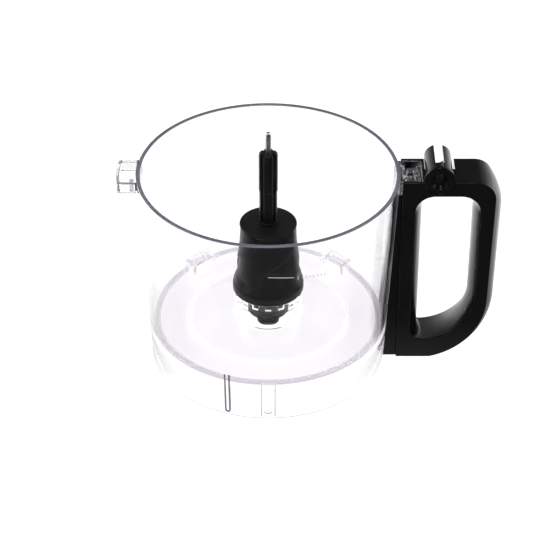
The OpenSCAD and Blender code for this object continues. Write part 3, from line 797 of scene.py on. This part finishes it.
def barrel():
    y0, y1 = BARREL_LO[1], BARREL_HI[1]
    half = 2.7
    a0 = math.degrees(math.asin(half / BARREL_R))
    a1 = math.degrees(math.asin(half / 5.0))
    n = 96
    outer = arc(BARREL_X, BARREL_Z, BARREL_R, 90 - a0, 90 + a0 - 360, n)
    inner = arc(BARREL_X, BARREL_Z, 5.0, 90 - a1, 90 + a1 - 360, n)
    verts = [Vector((p[0], y, p[1])) * MM for y in (y0, y1) for p in outer + inner]
    m = n + 1
    faces = [(0, 2 * m, 3 * m, m), (n, m + n, 3 * m + n, 2 * m + n)]
    for i in range(n):
        faces += [(i, i + 1, 2 * m + i + 1, 2 * m + i), (m + i, 3 * m + i, 3 * m + i + 1, m + i + 1),
                  (i, m + i, m + i + 1, i + 1), (2 * m + i, 2 * m + i + 1, 3 * m + i + 1, 3 * m + i)]
    mesh = bpy.data.meshes.new("tube")
    mesh.from_pydata(verts, [], faces)
    tube = finish_mesh("tube", mesh)
    bevel(tube, 0.25, 3, 40)
    base = block("base", (BARREL_X - 5.5, y0 + 0.01, NOTCH[2]), (BARREL_X + 5.5, y1 - 0.01, BARREL_Z - 6.1))
    boolean(base, lathe("bore", [(0.0, -20), (6.4, -20), (6.4, 20), (0.0, 20)], n=64, axis="y",
                        centre=(BARREL_X, 0, BARREL_Z)))
    boolean(tube, base, "UNION")
    tube.name = "lock_barrel"
    shade(tube, 32)
    piece(tube, HANDLE, "bowl", "handle_black", "lid_lock_barrel")

    y = RING_LO[1]
    yb = RING_HI[1]
    profile = [(9.1, y), (9.45, y + 0.1), (9.66, y + 0.32), (9.7, y + 0.6), (9.7, yb), (4.2, yb),
               (4.2, y + 1.8), (4.5, y + 1.5), (4.9, y + 1.5), (4.9, y + 1.05), (5.2, y + 0.75),
               (5.7, y + 0.75), (5.7, y + 0.32), (6.02, y)]
    ring = lathe("barrel_end", profile, n=128, axis="y", centre=(BARREL_X, 0, BARREL_Z))
    shade(ring, 30)
    piece(ring, HANDLE, "bowl", "handle_black", "barrel_end_ring")


# ---------------------------------------------------------------- stem
def hub_r(z):
    pts = [(49.2, 22.4), (56, 22.4), (62, 20.9), (69, 20.0), (79, 19.2), (90, 18.7), (97.8, 18.3),
           (98.6, 18.3)]
    for (z0, r0), (z1, r1) in zip(pts, pts[1:]):
        if z <= z1:
            return lerp(r0, r1, (z - z0) / (z1 - z0))
    return pts[-1][1]


def crease(z):
    """Angle of the sculpted crease at a height, in degrees right of the front."""
    return -10 + 75 * smooth((z - 66) / 22) ** 1.3


def circle(r, z, n):
    return [(r * math.cos(2 * math.pi * i / n), r * math.sin(2 * math.pi * i / n), z) for i in range(n)]


def hub():
    n = 288
    zs = [56.0, 56.25, 56.7] + [57.5 + k * 0.75 for k in range(53)] + [97.6, 98.0, 98.3, 98.48, 98.57]
    rings = []
    for z in zs:
        c = crease(z)
        ring = []
        edge = smooth((z - 56.0) / 2.5) * smooth((97.9 - z) / 2.0)
        for i in range(n):
            a = 360.0 * i / n
            u = a + 90.0
            w = ((c - u) % 90.0) / 90.0
            step = smooth(w / 0.045)
            flat = step * (1 - w) ** 1.15
            d = (1.25 * (1 - flat) - 0.35) * edge
            low = smooth((66 - z) / 7.0)
            w2 = ((u - 20 + 1.6 * (z - 56)) % 60.0) / 60.0
            d = d * (1 - low) + low * edge * 0.85 * abs(2 * w2 - 1) ** 1.5
            r = hub_r(z) - d
            if z > 97.5:
                t = (z - 97.5) / 1.1
                r -= 0.75 * (1 - math.sqrt(max(0.0, 1 - t * t)))
            ring.append((r * math.cos(math.radians(a)), r * math.sin(math.radians(a)), z))
        rings.append(ring)
    for r, z in ((16.6, 98.6), (13.0, 98.6), (9.0, 98.6)):
        rings.append(circle(r, z, n))
    rings.append(circle(5.2, 98.6, n))
    for r, z in ((5.2, 95.7), (16.25, 95.7), (16.7, 90), (17.1, 79), (17.8, 69), (18.7, 62), (20.0, 56.0)):
        rings.append(circle(r, z, n))
    shell = from_rings("hub_shell", rings, caps=False, closed_v=True)
    shade(shell, 24, weighted=False)
    piece(shell, STEM, "stem", "stem_black", "stem_hub")

    profile = [(20.4, 49.5), (20.7, 49.2), (22.2, 49.2), (22.6, 49.4), (22.85, 50.1), (22.9, 51.5),
               (22.86, 53.6), (22.7, 54.6), (22.3, 55.3), (21.9, 55.55), (21.9, 55.7), (22.1, 55.98), (20.4, 55.98)]
    ring = lathe("hub_band", profile, n=192)
    shade(ring, 30)
    piece(ring, STEM, "stem", "stem_black", "hub_collar")


def shaft():
    """Four lobes with rounded tops on a round foot; the lower part of each lobe is set back a little."""
    r_out, w = 6.0, 5.9

    def section(z, r, half, neck):
        pts = []
        for q in range(4):
            a = q * 90.0
            edge = math.degrees(math.asin(min(0.99, half / r)))
            local = [(r * math.cos(math.radians(t)), r * math.sin(math.radians(t)))
                     for t in [lerp(-edge + 3, edge - 3, k / 10) for k in range(11)]]
            c = 0.28
            xe = math.sqrt(max(0.1, r * r - half * half))
            local = ([(neck, -neck), (neck + 0.25, -half), (xe - c, -half)] + local
                     + [(xe - c, half), (neck + 0.25, half)])
            ca, sa = math.cos(math.radians(a)), math.sin(math.radians(a))
            pts += [(x * ca - y * sa, x * sa + y * ca, z) for x, y in local]
        return pts

    neck = 2.75
    rings = [section(100.4, r_out - 0.35, w / 2, neck), section(104, r_out - 0.35, w / 2, neck),
             section(123.3, r_out - 0.35, w / 2, neck), section(123.6, r_out, w / 2, neck)]
    rings += [section(z, r_out, w / 2, neck) for z in (130, 140, 148.6)]
    for t in (0.3, 0.6, 0.85, 1.0):
        s = 1 - math.sqrt(1 - t * t)
        rings.append(section(148.6 + 2.6 * t, r_out - 2.0 * s, w / 2 - 1.1 * s, neck - 0.5 * s))
    lobes = from_rings("lobes", rings)
    foot_outline = [(0.0, 95.8), (4.75, 95.8), (4.75, 98.5), (6.3, 98.6), (6.3, 100.1), (6.1, 100.45),
                    (5.6, 100.6), (0.0, 100.6)]
    foot = lathe("foot", foot_outline, n=72)
    boolean(foot, lobes, "UNION")
    hole = lathe("hole", [(0.0, 135.2), (1.9, 135.2), (1.9, 152), (0.0, 152)], n=32)
    boolean(foot, hole)
    foot.name = "disc_shaft"
    shade(foot, 30)
    piece(foot, STEM, "stem", "stem_black", "stem_shaft")

    r = 1.85
    tip = arc(0, PIN_TIP - r, r, 0, 90, 10)
    pin_outline = ([(0.0, 135.4), (1.5, 135.4), (1.5, 150.6), (r - 0.1, 150.75), (r, 151.0)] + tip[:-1]
                   + [(0.0, PIN_TIP)])
    pin = lathe("disc_pin", pin_outline, n=64)
    shade(pin, 40, weighted=False)
    piece(pin, CHROME, "stem", "pin_steel", "stem_pin")


def carry(obj, mat):
    if not obj.material_slots:
        obj.data.materials.append(mat)
    for slot in obj.material_slots:
        slot.material = mat


def carried_over():
    """CAD nodes that keep their shape get the same materials."""
    look = {HANDLE: ("lower_clamp", "rod_button"),
            STEEL: ("clamp_screws", "cover_screws", "interlock_spring", "thrust_washer", "drive_insert"),
            ACETAL: ("rod_guides", "interlock_rod", "spring_collar", "bearing_sleeve"),
            SOCKET: ("drive_socket",)}
    for mat, nodes in look.items():
        for node in nodes:
            carry(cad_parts[node], mat)


bowl()
fill_marks()
handle()
flange()
barrel()
hub()
shaft()
carried_over()


# ---------------------------------------------------------------- stage, light, camera
def trapped(nt, path, strength, bright):
    """Light reflected three times or more, as inside the clear bowl, sees an evenly bright room."""
    many = map_range(nt, path.outputs["Glossy Depth"], 2.0, 3.0, 0.0, 1.0)
    n = add(nt, "ShaderNodeMix", data_type="FLOAT")
    nt.links.new(many.outputs["Result"], n.inputs["Factor"])
    nt.links.new(strength, n.inputs["A"])
    n.inputs["B"].default_value = bright
    return n.outputs["Result"]


def studio():
    mesh = bpy.data.meshes.new("floor")
    s = 6.0
    corners = [(-s, -s), (s, -s), (s, s), (-s, s)]
    mesh.from_pydata([(x, y, -0.0003) for x, y in corners], [], [(0, 1, 2, 3)])
    floor = bpy.data.objects.new("floor", mesh)
    scene.collection.objects.link(floor)
    mat, nt, bsdf = new_material("floor_look")
    bsdf.inputs["Base Color"].default_value = (0.06, 0.06, 0.06, 1)
    bsdf.inputs["Roughness"].default_value = 0.9
    bsdf.inputs["Specular IOR Level"].default_value = 0.0
    bsdf.inputs["Emission Color"].default_value = (1, 1, 1, 1)
    # the part of the floor in front of the object is in the dark for what the object reflects
    seen = map_range(nt, coordinates(nt, "Object")[1], -0.06, 0.12, 0.02, 1.5)
    path = add(nt, "ShaderNodeLightPath")
    bounced = map_range(nt, path.outputs["Glossy Depth"], 0.0, 1.0, 0.0, 1.0)
    pick = add(nt, "ShaderNodeMix", data_type="FLOAT")
    nt.links.new(bounced.outputs["Result"], pick.inputs["Factor"])
    pick.inputs["A"].default_value = 1.16
    nt.links.new(seen.outputs["Result"], pick.inputs["B"])
    nt.links.new(trapped(nt, path, pick.outputs["Result"], 1.0), bsdf.inputs["Emission Strength"])
    mesh.materials.append(mat)

    world = bpy.data.worlds.new("studio")
    scene.world = world
    world.use_nodes = True
    nt = world.node_tree
    bg = next(n for n in nt.nodes if n.type == "BACKGROUND")
    _, y, z = coordinates(nt, "Generated")
    back = map_range(nt, y, -0.1, 0.6, 0.02, 1.2)
    up = map_range(nt, z, 0.0, 0.5, 1.0, 0.06)
    strength = calc(nt, "MULTIPLY", back.outputs["Result"], up.outputs["Result"])
    path = add(nt, "ShaderNodeLightPath")
    nt.links.new(trapped(nt, path, strength, 0.85), bg.inputs["Strength"])
    bg.inputs["Color"].default_value = (1.0, 0.995, 1.0, 1)

    def area(name, loc, target, size, power):
        light = bpy.data.lights.new(name, "AREA")
        light.shape, light.size, light.size_y, light.energy = "RECTANGLE", size[0], size[1], power
        obj = bpy.data.objects.new(name, light)
        scene.collection.objects.link(obj)
        obj.location = loc
        obj.rotation_euler = (Vector(target) - Vector(loc)).to_track_quat("-Z", "Y").to_euler()

    area("key_left", (-1.3, -0.2, 0.9), (0, 0, 0.08), (1.0, 1.0), 9)
    area("key_right", (1.3, -0.1, 0.9), (0, 0, 0.08), (1.0, 1.0), 9)
    area("top", (0, -0.25, 1.6), (0, 0, 0.1), (0.5, 0.35), 5)
    area("front", (0.06, -0.87, 1.36), (0.05, 0, 0.13), (0.4, 0.2), 1.5)

    cam = bpy.data.cameras.new("camera")
    cam.sensor_width = 36
    cam.lens = 2150 / 533 * 36
    cam.clip_start, cam.clip_end = 0.05, 30
    obj = bpy.data.objects.new("camera", cam)
    scene.collection.objects.link(obj)
    obj.location = (-0.00112, -1.1264, 0.8663)
    obj.rotation_euler = (math.radians(90 - 35.46), 0, 0)
    scene.camera = obj
    scene.view_settings.view_transform = "Standard"
    scene.cycles.max_bounces = 16
    scene.cycles.glossy_bounces = 12
    scene.cycles.transmission_bounces = 16


studio()
